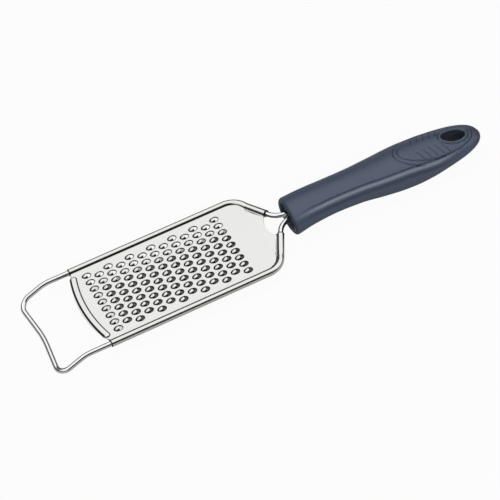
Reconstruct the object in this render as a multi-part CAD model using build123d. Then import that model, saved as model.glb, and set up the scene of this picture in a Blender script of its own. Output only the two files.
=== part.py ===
from build123d import *
import math
import os

# Rasp zester: a hooded-tooth grating plate in a bent wire frame, with a moulded handle.
# Millimetres. X runs from the front loop to the handle, Y to the far side, Z up.
# While it is drawn, X is zero at the first row of teeth and Z is zero on the table.
# At the end every piece moves along X, so the origin is the middle of the footprint.

# Wire frame: one bent wire from tang to tang
wire_radius = 1.5
rail_half_spacing = 30.6
foot_drop = 7.3
loop_reach = 32.1
loop_slope_run = 17.0
loop_dent = 2.9
slope_bend_radius = 16.5
loop_corner_radius = 6.8
loop_dent_radius = 67.0
shoulder_radius = 11.3
neck_radius = 10.5
tang_half_spacing = 2.3
tang_rise = 2.9
tang_length = 32.0
bend_step = 25.0

# Grating plate: stations along X and the sheet itself
sheet_thickness = 0.5
hem_clearance = 0.05
hem_fillet_radius = 1.2
hem_lip = 1.2
hem_lip_step = 0.07
hem_end_angle = -140.0
front_margin = 8.6
shoulder_from_last_row = 15.6
shoulder_to_neck = 14.5
fold_from_shoulder = 9.0
sheet_bend_radius = 5.0
hem_end_from_shoulder = 24.2
front_bulge = 5.5
scallop_depth = 4.8

# Teeth: staggered rows of raised hoods, each with its mouth to the handle
tooth_rows = 13
teeth_across = 9
tooth_pitch = 5.7
row_pitch = 6.65
hood_length = 3.2
hood_radius = 1.75
hood_wall = 0.35
hood_axis_drop = 0.35
hood_sides = 6
mouth_offset = 0.7
punch_radius = 1.4

# Stiffening rib behind the front edge
rib_setback = 2.9
rib_bulge = 3.1
rib_half_span = 24.0
rib_width = 3.6
rib_height = 0.9
rib_taper = 35.0

# Handle: moulded body with a hanging hole and a thumb pad
neck_to_handle = 5.1
handle_length = 124.0
handle_half_width = 14.4
handle_crown = 9.8
handle_lip_radius = 2.0
hole_length = 14.6
hole_width = 9.0
hole_from_tip = 16.5
hole_rim_width = 2.0
pad_radius = 9.6
pad_from_tip = 44.0
pad_line_step = 1.8
groove_width = 0.6
groove_depth = 0.5
grip_groove_count = 5
grip_groove_length = 5.0
grip_groove_pitch = 3.6
grip_groove_from_tip = 41.0
grip_groove_offset = 7.4
grip_groove_slant = 14.0

# Plug in the front of the handle, which holds both tangs
socket_half_width = 8.4
socket_half_height = 5.6
socket_corner_radius = 4.4
plug_recess = 2.0
plug_end_wall = 4.0
plug_clearance = 0.1
tang_clearance = 0.05

overrun = 10.0

# Stations worked out from the sizes above
last_row_x = (tooth_rows - 1) * row_pitch
hem_front_x = -front_margin
loop_x = hem_front_x - loop_reach
shoulder_x = last_row_x + shoulder_from_last_row
neck_x = shoulder_x + shoulder_to_neck
handle_x = neck_x + neck_to_handle
tip_x = handle_x + handle_length
foot_z = wire_radius
rail_z = foot_z + foot_drop
tang_z = rail_z + tang_rise
shoulder_run = math.hypot(shoulder_to_neck, rail_half_spacing - tang_half_spacing)
fold_share = fold_from_shoulder / shoulder_run
fold_x = shoulder_x + fold_share * shoulder_to_neck
fold_y = rail_half_spacing + fold_share * (tang_half_spacing - rail_half_spacing)
hem_mid_radius = wire_radius + hem_clearance + sheet_thickness / 2
hem_foot = math.sqrt(hem_mid_radius ** 2 + 2 * hem_mid_radius * hem_fillet_radius)
plug_length = tang_length - plug_recess + tang_clearance + plug_end_wall

# Handle sections: shares of the length, half width, crown and belly, from the front face to the tip
section_shares = (
    (0.000, 0.890, 0.878, 0.889),
    (0.105, 0.825, 0.960, 0.675),
    (0.220, 0.785, 0.950, 0.607),
    (0.340, 0.805, 0.930, 0.675),
    (0.450, 0.895, 0.930, 0.838),
    (0.565, 0.980, 0.980, 0.980),
    (0.630, 1.000, 1.000, 1.000),
    (0.700, 0.995, 0.980, 0.923),
    (0.780, 0.950, 0.888, 0.744),
    (0.863, 0.860, 0.704, 0.530),
    (0.920, 0.730, 0.551, 0.393),
    (0.965, 0.540, 0.398, 0.248),
    (0.990, 0.320, 0.245, 0.128),
    (1.000, 0.120, 0.110, 0.043),
)
# Points of one section: shares of its half width, and of its half height above the middle
crease_width_share = 0.82
crease_height_share = 0.62
side_height_share = -0.05
lower_width_share = 0.68
lower_height_share = -0.76


def path_stations(corners, radii):
    """Points with directions along straight lines that meet in round bends of the given radii.

    A radius of zero leaves one station at its corner, square to the middle of the turn.
    """
    first_direction = (corners[1] - corners[0]).normalized()
    stations = [(corners[0], first_direction)]
    for before, corner, after, radius in zip(corners, corners[1:], corners[2:], radii):
        arriving = (corner - before).normalized()
        leaving = (after - corner).normalized()
        turn = arriving.get_angle(leaving)
        steps = math.ceil(turn / bend_step) if radius else 0
        turn_axis = Axis((0, 0, 0), arriving.cross(leaving).normalized())
        spoke = arriving.cross(turn_axis.direction) * radius
        centre = corner - arriving * radius * math.tan(math.radians(turn / 2)) - spoke
        for step in range(steps + 1):
            angle = turn * step / steps if steps else turn / 2
            stations.append((centre + spoke.rotate(turn_axis, angle), arriving.rotate(turn_axis, angle)))
    last_direction = (corners[-1] - corners[-2]).normalized()
    return stations + [(corners[-1], last_direction)]


def section_plane(station, up=Vector(0, 0, 1)):
    """The plane across a path at one station, its own X to the left of the path."""
    point, direction = station
    return Plane(point, x_dir=up.cross(direction), z_dir=direction)


def frame_corners(side):
    """Corner points of the wire on one side, from the middle of the front loop to the tang's end."""
    slope_run_x = loop_x + loop_slope_run
    return [
        Vector(loop_x + loop_dent, 0, foot_z),
        Vector(loop_x, side * rail_half_spacing, foot_z),
        Vector(slope_run_x, side * rail_half_spacing, rail_z),
        Vector(shoulder_x, side * rail_half_spacing, rail_z),
        Vector(fold_x, side * fold_y, rail_z),
        Vector(neck_x, side * tang_half_spacing, tang_z),
        Vector(handle_x + tang_length, side * tang_half_spacing, tang_z),
    ]


def make_wire_frame():
    """One wire: tang, neck, fold, shoulder, rail, sloped leg and half the front loop, then the same back."""
    corners = frame_corners(1)[::-1] + frame_corners(-1)[1:]
    side_radii = [neck_radius, 0, shoulder_radius, slope_bend_radius, loop_corner_radius]
    stations = path_stations(corners, side_radii + [loop_dent_radius] + side_radii[::-1])
    return loft([section_plane(station) * Circle(wire_radius) for station in stations], ruled=True)


def hem_profile():
    """Section of the rolled hem: the sheet rises in a fillet and wraps the wire, over and under."""
    half = sheet_thickness / 2
    lip_half = half - hem_lip_step
    join_angle = math.degrees(math.atan2(hem_fillet_radius, -hem_foot))
    turn = join_angle - hem_end_angle
    inner = hem_mid_radius - half
    outer = hem_mid_radius + half
    edge_u = -hem_foot - hem_lip
    fillet_centre = (-hem_foot, hem_fillet_radius)
    lines = [
        Line((edge_u, -lip_half), (edge_u, lip_half)),
        Line((edge_u, lip_half), (-hem_foot, half)),
        CenterArc(fillet_centre, hem_fillet_radius - half, -90, join_angle - 90),
        CenterArc((0, 0), outer, join_angle, -turn / 2),
        CenterArc((0, 0), outer, join_angle - turn / 2, -turn / 2),
        Line(Vector(outer, 0).rotate(Axis.Z, hem_end_angle), Vector(inner, 0).rotate(Axis.Z, hem_end_angle)),
        CenterArc((0, 0), inner, hem_end_angle, turn / 2),
        CenterArc((0, 0), inner, hem_end_angle + turn / 2, turn / 2),
        CenterArc(fillet_centre, hem_fillet_radius + half, join_angle - 180, 90 - join_angle),
        Line((-hem_foot, -half), (edge_u, -lip_half)),
    ]
    return make_face([line.edge() for line in lines])


def make_hem():
    """The hem on the far side: along the rail, round the shoulder and up the fold to the scallop."""
    shoulder, fold, neck = frame_corners(1)[3:6]
    rail_start = Vector(hem_front_x, rail_half_spacing, rail_z)
    hem_end = fold + (neck - fold).normalized() * (hem_end_from_shoulder - fold_from_shoulder)
    stations = path_stations([rail_start, shoulder, fold, hem_end], [shoulder_radius, 0])
    slope_normal = Vector(-tang_rise, 0, neck_x - fold_x).normalized()
    fold_normal = (slope_normal + Vector(0, 0, 1)).normalized()
    normals = [Vector(0, 0, 1)] * (len(stations) - 2) + [fold_normal, slope_normal]
    profile = hem_profile()
    sections = [section_plane(station, up) * profile for station, up in zip(stations, normals)]
    return loft(sections, ruled=True), hem_end


def forward_arc(front_x, half_chord, bulge):
    """Centre X and radius of an arc that bulges forward to front_x over a chord across the plate."""
    radius = (half_chord ** 2 + bulge ** 2) / (2 * bulge)
    return front_x + radius, radius


def sheet_outline(hem_end):
    """Plan of the sheet inside the hems, with its curved front edge and the scallop at the rear."""
    inset = hem_foot + hem_lip / 2
    far = [
        (hem_front_x - overrun * 2, rail_half_spacing),
        (shoulder_x, rail_half_spacing),
        (neck_x, tang_half_spacing),
    ]
    near = [(x, -y) for x, y in reversed(far)]
    outline = offset(make_face(Polyline(*far, *near, close=True)), amount=-inset, kind=Kind.INTERSECTION)
    rows = outline.vertices().group_by(Axis.Y)
    shoulders = [rows[0].sort_by(Axis.X)[-1], rows[-1].sort_by(Axis.X)[-1]]
    outline = fillet(shoulders, shoulder_radius - inset)
    centre_x, radius = forward_arc(hem_front_x - front_bulge, rail_half_spacing - hem_foot, front_bulge)
    behind_edge = Pos(centre_x, 0) * Circle(radius)
    behind_edge += Pos(centre_x + radius, 0) * Rectangle(2 * radius, 2 * radius)
    scallop_radius = (hem_end.Y ** 2 + scallop_depth ** 2) / (2 * scallop_depth)
    scallop = Pos(hem_end.X - scallop_depth + scallop_radius, 0) * Circle(scallop_radius)
    return (outline & behind_edge) - scallop


def make_sheet(hem_end):
    """The flat sheet, bent up along one line across its rear, cut to the plan outline."""
    start = Vector(hem_front_x - overrun * 2, 0, rail_z)
    fold = Vector(fold_x, 0, rail_z)
    slope_direction = Vector(neck_x - fold_x, 0, tang_rise)
    strip_section = Rectangle(2 * rail_half_spacing, sheet_thickness)
    stations = path_stations([start, fold, fold + slope_direction * 2], [sheet_bend_radius])
    strip = loft([section_plane(station) * strip_section for station in stations], ruled=True)
    return strip & extrude(sheet_outline(hem_end), amount=2 * tang_z)


def tooth_places():
    """Centre of each tooth: full rows, and rows with one tooth fewer set between them."""
    places = []
    for row in range(tooth_rows):
        count = teeth_across - row % 2
        for column in range(count):
            places.append((row * row_pitch, (column - (count - 1) / 2) * tooth_pitch))
    return places


def many_sided(radius):
    """A regular outline with a flat at the top, which keeps the faces of every tooth plain."""
    return RegularPolygon(radius, hood_sides, major_radius=False, rotation=180 / hood_sides)


def tooth_rod(radius):
    """A leaning rod that rises through the sheet to end in the tooth's mouth."""
    nose_angle = math.atan2(hood_radius - hood_axis_drop, hood_length)
    lean = Vector(-math.cos(nose_angle), 0, -math.sin(nose_angle))
    top_z = rail_z + sheet_thickness / 2
    start = Vector(mouth_offset, 0, top_z - hood_axis_drop) - lean * hood_radius
    rod = extrude(Plane(start, x_dir=(0, 1, 0), z_dir=lean) * many_sided(radius), amount=3 * hood_length)
    ahead = Box(overrun, overrun, overrun, align=(Align.MAX, Align.CENTER, Align.CENTER))
    return rod & (Pos(mouth_offset, 0, rail_z) * ahead)


def make_hood():
    """The raised outside of one tooth, down to the middle of the sheet."""
    above = Pos(0, 0, rail_z) * Box(overrun, overrun, overrun, align=(Align.CENTER, Align.CENTER, Align.MIN))
    return tooth_rod(hood_radius) & above


def make_punch():
    """What one tooth's punch takes out: the hollow under the hood and the hole behind its mouth."""
    below = Pos(mouth_offset, 0, rail_z - sheet_thickness)
    hole = extrude(below * many_sided(punch_radius), amount=sheet_thickness * 2)
    behind = Box(overrun, overrun, overrun, align=(Align.MIN, Align.CENTER, Align.CENTER))
    return tooth_rod(hood_radius - hood_wall) + (hole & (Pos(mouth_offset, 0, rail_z) * behind))


def make_rib(inset):
    """The long raised rib behind the front edge, with round ends and sloped sides, inset all round."""
    centre_x, radius = forward_arc(hem_front_x - front_bulge + rib_setback, rib_half_span, rib_bulge)
    half_angle = math.degrees(math.asin(rib_half_span / radius))
    arc = CenterArc((centre_x, 0, 0), radius, 180 - half_angle, 2 * half_angle)
    base = SlotArc(arc, rib_width - 2 * inset)
    return Pos(0, 0, rail_z + sheet_thickness / 2 - inset) * extrude(base, amount=rib_height, taper=rib_taper)


def make_grating_plate():
    """Sheet, both hems, the rib and every tooth, as one stamped piece."""
    hem, hem_end = make_hem()
    sheet = make_sheet(hem_end) + [hem, mirror(hem, about=Plane.XZ)]
    hood = make_hood()
    punch = make_punch()
    places = [Pos(x, y) for x, y in tooth_places()]
    raised = [place * hood for place in places] + [make_rib(0)]
    punched = [place * punch for place in places] + [make_rib(sheet_thickness)]
    return (sheet + raised) - punched


def handle_section(shares, inset):
    """One closed section of the handle at a station, made of four arcs, smaller by inset."""
    station_share, width_share, crown_share, belly_share = shares
    x = handle_x + station_share * handle_length
    half_width = width_share * handle_half_width - inset
    top = tang_z + crown_share * handle_crown - inset
    bottom = tang_z - belly_share * tang_z + inset
    middle = (top + bottom) / 2
    half_height = (top - bottom) / 2
    crease_y = crease_width_share * half_width
    crease_z = middle + crease_height_share * half_height
    side_z = middle + side_height_share * half_height
    lower_y = lower_width_share * half_width
    lower_z = middle + lower_height_share * half_height
    arcs = [
        ThreePointArc((x, -crease_y, crease_z), (x, 0, top), (x, crease_y, crease_z)),
        ThreePointArc((x, crease_y, crease_z), (x, half_width, side_z), (x, lower_y, lower_z)),
        ThreePointArc((x, lower_y, lower_z), (x, 0, bottom), (x, -lower_y, lower_z)),
        ThreePointArc((x, -lower_y, lower_z), (x, -half_width, side_z), (x, -crease_y, crease_z)),
    ]
    return make_face([arc.edge() for arc in arcs])


def handle_form(inset):
    """The handle's outer form through all its sections, smaller by inset all round."""
    return loft([handle_section(shares, inset) for shares in section_shares])


def line_groove(outline, inner_offset):
    """A closed groove as wide as groove_width that follows an outline, inner_offset inside it."""
    outer_face = offset(outline, amount=groove_width / 2 - inner_offset)
    return outer_face - offset(outline, amount=-groove_width / 2 - inner_offset)


def grip_grooves():
    """Short slanted grooves in a row along each side of the thumb pad."""
    grooves = []
    for number in range(grip_groove_count):
        x = tip_x - grip_groove_from_tip + number * grip_groove_pitch
        for side in (-1, 1):
            bar = Rectangle(groove_width, grip_groove_length)
            grooves.append(Pos(x, side * grip_groove_offset) * Rot(0, 0, -side * grip_groove_slant) * bar)
    return grooves


def make_handle_body():
    """The moulded handle with its front socket, hanging hole, hole rim, thumb pad and grip grooves."""
    body = handle_form(0)
    body = fillet(body.edges().group_by(Axis.X)[0], handle_lip_radius)
    skin = body - handle_form(groove_depth)
    hole_x = tip_x - hole_from_tip
    hole = Pos(hole_x, 0) * SlotOverall(hole_length, hole_width)
    rim = offset(hole, amount=hole_rim_width)
    pad = Pos(tip_x - pad_from_tip, 0) * Circle(pad_radius)
    pad_outline = make_face(make_hull(pad.edges() + rim.edges()))
    lines = line_groove(pad_outline, 0) + line_groove(rim, 0) + grip_grooves()
    inner_line = line_groove(pad_outline, pad_line_step)
    pad_front = Rectangle(2 * pad_radius, 2 * pad_radius, align=(Align.MAX, Align.CENTER))
    lines += inner_line & (Pos(tip_x - pad_from_tip, 0) * pad_front)
    body -= Pos(0, 0, tang_z) * extrude(lines, amount=handle_crown + overrun) & skin
    body -= extrude(hole, amount=tang_z + handle_crown + overrun)
    socket = RectangleRounded(2 * socket_half_width, 2 * socket_half_height, socket_corner_radius)
    front = Plane((handle_x, 0, tang_z), x_dir=(0, 1, 0), z_dir=(1, 0, 0))
    body -= front * extrude(socket, amount=plug_recess + plug_length + plug_clearance)
    return body


def make_tang_plug():
    """The plug that fills the handle's socket and holds the two tangs."""
    outline = RectangleRounded(
        2 * (socket_half_width - plug_clearance),
        2 * (socket_half_height - plug_clearance),
        socket_corner_radius - plug_clearance,
    )
    front = Plane((handle_x + plug_recess, 0, tang_z), x_dir=(0, 1, 0), z_dir=(1, 0, 0))
    plug = front * extrude(outline, amount=plug_length)
    bore_depth = plug_length - plug_end_wall
    for side in (-1, 1):
        bore = Pos(side * tang_half_spacing, 0) * Circle(wire_radius + tang_clearance)
        plug -= front * extrude(bore, amount=bore_depth)
    return plug


def main():
    """Build every piece, centre the whole on the footprint, and write one file for each."""
    pieces = {
        "wire_frame": make_wire_frame(),
        "grating_plate": make_grating_plate(),
        "handle_body": make_handle_body(),
        "tang_plug": make_tang_plug(),
    }
    front_x = pieces["wire_frame"].bounding_box().min.X
    rear_x = pieces["handle_body"].bounding_box().max.X
    centre = Pos(-(front_x + rear_x) / 2, 0, 0)
    os.makedirs("parts", exist_ok=True)
    for name, piece in pieces.items():
        export_step(centre * piece, f"parts/{name}.step")
        print(name, "solids", len(piece.solids()), "volume", round(piece.volume, 1), piece.bounding_box())


main()
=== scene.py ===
import logging
import math
from dataclasses import dataclass, field, replace
from enum import Enum

import bmesh
import bpy
from mathutils import Matrix, Quaternion, Vector
from mathutils.geometry import delaunay_2d_cdt


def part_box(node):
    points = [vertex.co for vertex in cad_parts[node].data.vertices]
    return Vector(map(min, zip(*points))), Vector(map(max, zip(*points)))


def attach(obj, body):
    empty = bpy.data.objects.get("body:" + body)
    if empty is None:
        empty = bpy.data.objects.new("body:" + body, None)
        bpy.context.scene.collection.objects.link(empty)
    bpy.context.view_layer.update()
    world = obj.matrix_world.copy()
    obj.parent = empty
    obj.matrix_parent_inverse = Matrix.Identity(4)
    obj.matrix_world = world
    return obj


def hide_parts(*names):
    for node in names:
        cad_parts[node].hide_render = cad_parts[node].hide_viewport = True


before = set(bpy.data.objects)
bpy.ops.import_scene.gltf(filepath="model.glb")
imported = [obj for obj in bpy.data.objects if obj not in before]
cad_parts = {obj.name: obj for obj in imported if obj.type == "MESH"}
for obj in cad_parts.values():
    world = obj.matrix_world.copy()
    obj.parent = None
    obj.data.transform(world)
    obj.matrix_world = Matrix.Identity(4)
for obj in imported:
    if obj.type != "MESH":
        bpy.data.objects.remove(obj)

LOG = logging.getLogger("rasp_zester")
MM = 0.001
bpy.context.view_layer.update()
# A point of a path with the direction in which the path leaves it
Station = tuple[Vector, Vector]
# Blender's noise seldom leaves this range
NOISE_LOW, NOISE_HIGH = 0.3, 0.7
# The most that a weighted normal can lean to the larger face
FLAT_FACE_WEIGHT = 100


class Slot(Enum):
    """Names of material slots for the wire, the sheet and the handle."""

    WIRE = "steel_wire"
    SHEET = "steel_sheet"
    HANDLE = "handle_plastic"


# Colour and nodes


def linear(hex_colour: str) -> tuple[float, float, float, float]:
    """Turn an sRGB hex colour into the linear one that Blender's sockets hold.

    Args:
        hex_colour: six hex digits after a hash sign.

    Returns:
        Linear red, green, blue and an alpha of one.
    """
    channels = [int(hex_colour[place:place + 2], 16) / 255 for place in (1, 3, 5)]
    red, green, blue = [c / 12.92 if c <= 0.04045 else ((c + 0.055) / 1.055) ** 2.4 for c in channels]
    return red, green, blue, 1.0


def add_node(tree: bpy.types.NodeTree, kind: str, inputs: dict | None = None,
             **settings: object) -> bpy.types.Node:
    """Add one node with its settings, and fill or link its sockets.

    Args:
        tree: the node tree it goes into.
        kind: Blender's type name of the node.
        inputs: socket name or index, with a plain value or the output socket to link from.
        settings: fields of the node itself.

    Returns:
        The new node.
    """
    node = tree.nodes.new(kind)
    for name, value in settings.items():
        setattr(node, name, value)
    for key, value in (inputs or {}).items():
        if isinstance(value, bpy.types.NodeSocket):
            tree.links.new(value, node.inputs[key])
        else:
            node.inputs[key].default_value = value
    return node


def new_material(name: str) -> tuple[bpy.types.Material, bpy.types.NodeTree, bpy.types.Node]:
    """Make an empty node material.

    Args:
        name: the material's name.

    Returns:
        The material, its node tree and its output node.
    """
    material = bpy.data.materials.new(name)
    material.use_nodes = True
    tree = material.node_tree
    tree.nodes.clear()
    return material, tree, add_node(tree, "ShaderNodeOutputMaterial")


@dataclass(frozen=True)
class BrightSteel:
    """Stainless steel with fine lines along the way it was drawn or rolled.

    The lines come from the `grain` attribute of a mesh: its first number runs along the work, in
    millimetres, and the other two run across it. A second attribute carries painted shade: where it is
    one, in corners, on cut edges and on steep flanks, the steel is painted dark as shade.
    """

    name: str
    colour: str
    painted_shade_colour: str
    roughness: float
    roughness_spread: float
    line_spacing: float
    line_length: float
    line_height: float
    line_strength: float = 0.25

    def make(self) -> bpy.types.Material:
        """Build the node material.

        Returns:
            The finished steel.
        """
        material, tree, output = new_material(self.name)
        place = add_node(tree, "ShaderNodeAttribute", attribute_name="grain")
        stretch = (1 / self.line_length, 1 / self.line_spacing, 1 / self.line_spacing)
        along = add_node(tree, "ShaderNodeMapping", {"Vector": place.outputs["Vector"], "Scale": stretch})
        lines = add_node(
            tree, "ShaderNodeTexNoise",
            {"Vector": along.outputs["Vector"], "Scale": 1.0, "Detail": 3.0, "Roughness": 0.6},
        )
        low, high = self.roughness - self.roughness_spread, self.roughness + self.roughness_spread
        sheen = add_node(
            tree, "ShaderNodeMapRange",
            {
                "Value": lines.outputs["Fac"],
                "From Min": NOISE_LOW,
                "From Max": NOISE_HIGH,
                "To Min": low,
                "To Max": high,
            },
        )
        relief = add_node(
            tree, "ShaderNodeBump",
            {
                "Height": lines.outputs["Fac"],
                "Strength": self.line_strength,
                "Distance": self.line_height * MM,
            },
        )
        # Where this attribute is one, the steel's colour is painted dark as shade
        painted_light = add_node(tree, "ShaderNodeAttribute", attribute_name="painted_light")
        tint = add_node(
            tree, "ShaderNodeMix",
            {0: painted_light.outputs["Fac"], 6: linear(self.colour), 7: linear(self.painted_shade_colour)},
            data_type="RGBA",
        )
        shader = add_node(
            tree, "ShaderNodeBsdfPrincipled",
            {
                "Base Color": tint.outputs[2],
                "Metallic": 1.0,
                "Roughness": sheen.outputs["Result"],
                "Normal": relief.outputs["Normal"],
            },
        )
        tree.links.new(shader.outputs["BSDF"], output.inputs["Surface"])
        return material


@dataclass(frozen=True)
class MouldedPolypropylene:
    """Injection-moulded polypropylene from a lightly spark-eroded mould.

    A satin skin: a soft sheen with no sharp reflections, and a very fine pebble that breaks it up.
    The painted-light attribute is up to one where shade is painted into grooves, lines, hollows and
    corners, and below zero where a highlight is painted along a ridge.
    """

    name: str
    colour: str
    shade: str
    painted_dark_colour: str
    painted_highlight_colour: str
    roughness: float
    pebble: float
    pebble_height: float
    roughness_spread: float = 0.03
    patch_size: float = 20.0
    pebble_strength: float = 0.35
    ior: float = 1.49

    def make(self) -> bpy.types.Material:
        """Build the node material.

        Returns:
            The finished plastic.
        """
        material, tree, output = new_material(self.name)
        place = add_node(tree, "ShaderNodeTexCoord")
        pebbles = add_node(
            tree, "ShaderNodeTexNoise",
            {"Vector": place.outputs["Object"], "Scale": 1 / (self.pebble * MM), "Detail": 2.0},
        )
        # Flow of the melt gives broad, faint patches
        patches = add_node(
            tree, "ShaderNodeTexNoise",
            {"Vector": place.outputs["Object"], "Scale": 1 / (self.patch_size * MM), "Detail": 3.0},
        )
        tint = add_node(
            tree, "ShaderNodeMix",
            {0: patches.outputs["Fac"], 6: linear(self.colour), 7: linear(self.shade)},
            data_type="RGBA",
        )
        sheen = add_node(
            tree, "ShaderNodeMapRange",
            {
                "Value": patches.outputs["Fac"],
                "From Min": NOISE_LOW,
                "From Max": NOISE_HIGH,
                "To Min": self.roughness - self.roughness_spread,
                "To Max": self.roughness + self.roughness_spread,
            },
        )
        painted_light_input = add_node(tree, "ShaderNodeAttribute", attribute_name="painted_light")
        # Shade is painted towards the dark colour, and a highlight towards the pale one
        for colour, full in ((self.painted_dark_colour, 1.0), (self.painted_highlight_colour, -1.0)):
            reach = add_node(tree, "ShaderNodeMapRange", {"Value": painted_light_input.outputs["Fac"], "From Max": full})
            tint = add_node(
                tree, "ShaderNodeMix",
                {0: reach.outputs["Result"], 6: tint.outputs[2], 7: linear(colour)}, data_type="RGBA",
            )
        relief = add_node(
            tree, "ShaderNodeBump",
            {
                "Height": pebbles.outputs["Fac"],
                "Strength": self.pebble_strength,
                "Distance": self.pebble_height * MM,
            },
        )
        shader = add_node(
            tree, "ShaderNodeBsdfPrincipled",
            {
                "Base Color": tint.outputs[2],
                "Roughness": sheen.outputs["Result"],
                "IOR": self.ior,
                "Normal": relief.outputs["Normal"],
            },
        )
        tree.links.new(shader.outputs["BSDF"], output.inputs["Surface"])
        return material


# Meshes


class Draft:
    """Points and faces of one piece, in millimetres of the drawing, with the grain of each and the light or
    shade painted at it.
    """

    # Points closer together than this become one
    join_distance: float = 0.002

    def __init__(self) -> None:
        """Start with nothing drawn."""
        self.points: list[Vector] = []
        self.grain: list[Vector] = []
        self.painted_light: list[float] = []
        self.faces: list[list[int]] = []

    def add(self, point: Vector, grain: Vector | None = None, painted_light: float = 0.0) -> int:
        """Add one point.

        Args:
            point: its place in the drawing.
            grain: where it lies in the pattern of the surface; its own place if left out.
            painted_light: the shade painted at it, from 0 to 1; below 0 a highlight painted on it.

        Returns:
            The point's number.
        """
        self.points.append(Vector(point))
        self.grain.append(Vector(point if grain is None else grain))
        self.painted_light.append(painted_light)
        return len(self.points) - 1

    def row(self, points: list[Vector], grains: list[Vector] | None = None,
            painted_light: list[float] | None = None) -> list[int]:
        """Add a row of points.

        Args:
            points: their places.
            grains: their places in the pattern, one each.
            painted_light: the shade or highlight painted at each, one each.

        Returns:
            The numbers of the points, in order.
        """
        count = len(points)
        return [self.add(*spot) for spot in zip(points, grains or [None] * count, painted_light or [0.0] * count)]

    def bridge(self, first: list[int], second: list[int], closed: bool) -> None:
        """Join two rows of as many points with a band of four-sided faces.

        Args:
            first: one row.
            second: the row beside it.
            closed: whether the rows are rings.
        """
        count = len(first)
        for i in range(count if closed else count - 1):
            j = (i + 1) % count
            self.faces.append([first[i], first[j], second[j], second[i]])

    def fan(self, ring: list[int], centre: Vector, flip: bool) -> None:
        """Close a ring with triangles to a point in its middle.

        Args:
            ring: the ring's points.
            centre: the middle.
            flip: whether the triangles turn the other way.
        """
        middle = self.add(centre)
        for i, start in enumerate(ring):
            end = ring[(i + 1) % len(ring)]
            self.faces.append([end, start, middle] if flip else [start, end, middle])

    def mesh(self, name: str) -> bpy.types.Object:
        """Turn the draft into an object in the shared frame.

        Args:
            name: the object's name.

        Returns:
            The new object, with its points joined where they meet.
        """
        data = bpy.data.meshes.new(name)
        data.from_pydata([placed(p) for p in self.points], [], self.faces)
        pattern = data.attributes.new("grain", "FLOAT_VECTOR", "POINT")
        pattern.data.foreach_set("vector", [c for g in self.grain for c in g])
        # This attribute carries painted shade, and a painted highlight where it is below zero
        data.attributes.new("painted_light", "FLOAT", "POINT").data.foreach_set("value", self.painted_light)
        shape = bmesh.new()
        shape.from_mesh(data)
        bmesh.ops.remove_doubles(shape, verts=shape.verts, dist=self.join_distance * MM)
        bmesh.ops.recalc_face_normals(shape, faces=shape.faces)
        shape.to_mesh(data)
        shape.free()
        return stand(name, data)


def stand(name: str, data: bpy.types.ID) -> bpy.types.Object:
    """Make an object and put it in the scene.

    Args:
        name: the object's name.
        data: its mesh, lamp or camera.

    Returns:
        The new object.
    """
    made = bpy.data.objects.new(name, data)
    bpy.context.scene.collection.objects.link(made)
    return made


def placed(point: Vector) -> Vector:
    """A point of the drawing, in millimetres, as one of the shared frame, in metres."""
    return Vector(((point[0] - LAYOUT.tip_x) * MM + HANDLE_TIP_X, point[1] * MM, point[2] * MM))


def applied(piece: bpy.types.Object) -> bpy.types.Mesh:
    """Replace a piece's mesh by the result of its modifiers, and clear them.

    Args:
        piece: the object.

    Returns:
        Its new mesh.
    """
    graph = bpy.context.evaluated_depsgraph_get()
    graph.update()
    done = bpy.data.meshes.new_from_object(piece.evaluated_get(graph))
    piece.modifiers.clear()
    piece.data = done
    return done


def settle(piece: bpy.types.Object, sharp_degrees: float, weighted: bool = False) -> None:
    """Keep the result of a piece's modifiers as its mesh, shaded smooth but for its real edges.

    Args:
        piece: the object.
        sharp_degrees: the angle over which an edge stays sharp.
        weighted: whether large faces stay flat and leave the rounding to the small ones.
    """
    done = applied(piece)
    done.shade_smooth()
    done.set_sharp_from_angle(angle=math.radians(sharp_degrees))
    if weighted:
        weigh = piece.modifiers.new("flat_faces", "WEIGHTED_NORMAL")
        weigh.mode = "FACE_AREA"
        weigh.weight = FLAT_FACE_WEIGHT
        weigh.keep_sharp = True
        applied(piece)


def finish_piece(piece: bpy.types.Object, material: bpy.types.Material, node: str) -> None:
    """Dress a piece and tie it to the frame.

    Args:
        piece: the object.
        material: its finish.
        node: the CAD node that it stands for.
    """
    piece.data.materials.clear()
    piece.data.materials.append(material)
    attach(piece, "root")
    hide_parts(node)
    LOG.info("%s: %d points, %d faces", piece.name, len(piece.data.vertices), len(piece.data.polygons))


def path_stations(corners: list[Vector], radii: list[float], bend_step: float) -> list[Station]:
    """Points with directions along straight lines that meet in round bends.

    Args:
        corners: the points where the straight lines meet, with both ends.
        radii: the radius of each bend between the ends.
        bend_step: the most degrees from one point of a bend to the next.

    Returns:
        The stations in order.
    """
    stations = [(corners[0], (corners[1] - corners[0]).normalized())]
    for before, corner, after, radius in zip(corners, corners[1:], corners[2:], radii):
        arriving = (corner - before).normalized()
        leaving = (after - corner).normalized()
        turn = arriving.angle(leaving)
        turn_axis = arriving.cross(leaving).normalized()
        spoke = arriving.cross(turn_axis) * radius
        centre = corner - arriving * radius * math.tan(turn / 2) - spoke
        steps = math.ceil(math.degrees(turn) / bend_step)
        for step in range(steps + 1):
            swing = Quaternion(turn_axis, turn * step / steps)
            stations.append((centre + swing @ spoke, swing @ arriving))
    return stations + [(corners[-1], (corners[-1] - corners[-2]).normalized())]


# Shared layout


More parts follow.
